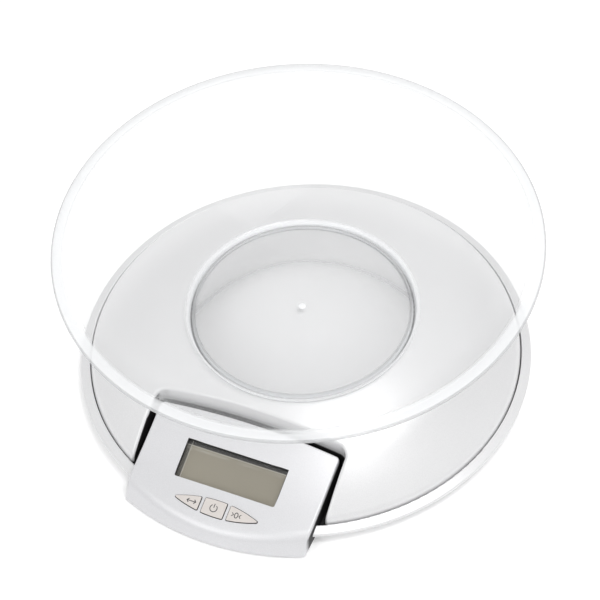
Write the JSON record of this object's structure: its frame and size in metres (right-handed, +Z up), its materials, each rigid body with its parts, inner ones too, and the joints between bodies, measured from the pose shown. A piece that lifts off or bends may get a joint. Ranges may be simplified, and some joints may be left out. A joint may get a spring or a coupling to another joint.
{
  "type": "digital kitchen scale",
  "caption": "Round kitchen scale with a domed weighing platform, a sloping panel with a display window and buttons, and a lift-off clear bowl.",
  "frame": {"origin": "on the table, on the vertical axis of the round base", "axes": "+Z up, -Y towards the control panel and the user, +X to the user's right"},
  "size_m": [0.2124, 0.2137, 0.0814],
  "materials": {
    "silver_shell": "fine satin silver",
    "silver_panel": "fine satin silver, a shade darker",
    "clear_plastic": "clear, polished",
    "window_clear": "clear, polished",
    "lcd": "reflective grey-green",
    "frame_black": "fine matt",
    "key_beige": "fine matt",
    "board_green": "solder mask",
    "chip_black": "moulded",
    "strip_rubber": "matt",
    "dome_rubber": "matt",
    "foot_rubber": "matt",
    "beam_aluminium": "milled",
    "potting": "cast silicone",
    "steel_plate": "zinc plated",
    "screw_steel": "zinc plated",
    "cell_jacket": "plain printed jacket",
    "nickel": "nickel plated",
    "door_grey": "fine satin silver",
    "lead_sleeve": "grey sleeve",
    "ribbon_film": "film"
  },
  "bodies": {
    "base": {"base_shell": "silver_shell", "panel_cover": "silver_panel", "display_pane": "window_clear", "lcd_glass": "lcd", "lcd_frame": "frame_black", "main_board": "board_green", "key_board": "board_green", "board_chips": "chip_black", "contact_strips": "strip_rubber", "key_dome_left": "dome_rubber", "key_dome_middle": "dome_rubber", "key_dome_right": "dome_rubber", "rubber_feet": "foot_rubber", "load_cell": "beam_aluminium", "gauge_pads": "potting", "lower_spacer": "steel_plate", "lower_cell_screws": "screw_steel", "overload_stop": "screw_steel", "panel_screws": "screw_steel", "board_screws": "screw_steel", "battery_left": "cell_jacket", "battery_right": "cell_jacket", "contact_springs": "nickel", "contact_plates": "nickel", "load_cell_lead": "lead_sleeve", "battery_lead": "lead_sleeve", "board_ribbon": "ribbon_film"},
    "platform": {"platform": "silver_shell", "platform_bracket": "steel_plate", "bracket_screws": "screw_steel", "upper_spacer": "steel_plate", "upper_cell_screws": "screw_steel"},
    "bowl": {"bowl": "clear_plastic"},
    "button_left": {"button_left": "key_beige"},
    "button_middle": {"button_middle": "key_beige"},
    "button_right": {"button_right": "key_beige"},
    "battery_door": {"battery_door": "door_grey"}
  },
  "joints": [
    {"name": "platform_press", "type": "slide", "parent": "base", "child": "platform", "axis": [0, 0, -1], "range_m": [0, 0.0006], "stiffness_N_per_m": 60000, "deforming": ["load_cell"]},
    {"name": "bowl_lift", "type": "slide", "parent": "platform", "child": "bowl", "axis": [0, 0, 1], "range_m": [0, 0.06]},
    {"name": "button_left_press", "type": "slide", "parent": "base", "child": "button_left", "axis": [0, 0.322, -0.9467], "range_m": [0, 0.0008], "stiffness_N_per_m": 1500, "deforming": ["key_dome_left"]},
    {"name": "button_middle_press", "type": "slide", "parent": "base", "child": "button_middle", "axis": [0, 0.322, -0.9467], "range_m": [0, 0.0008], "stiffness_N_per_m": 1500, "deforming": ["key_dome_middle"]},
    {"name": "button_right_press", "type": "slide", "parent": "base", "child": "button_right", "axis": [0, 0.322, -0.9467], "range_m": [0, 0.0008], "stiffness_N_per_m": 1500, "deforming": ["key_dome_right"]},
    {"name": "battery_door_slide", "type": "slide", "parent": "base", "child": "battery_door", "axis": [0, 1, 0], "range_m": [0, 0.008]}
  ]
}
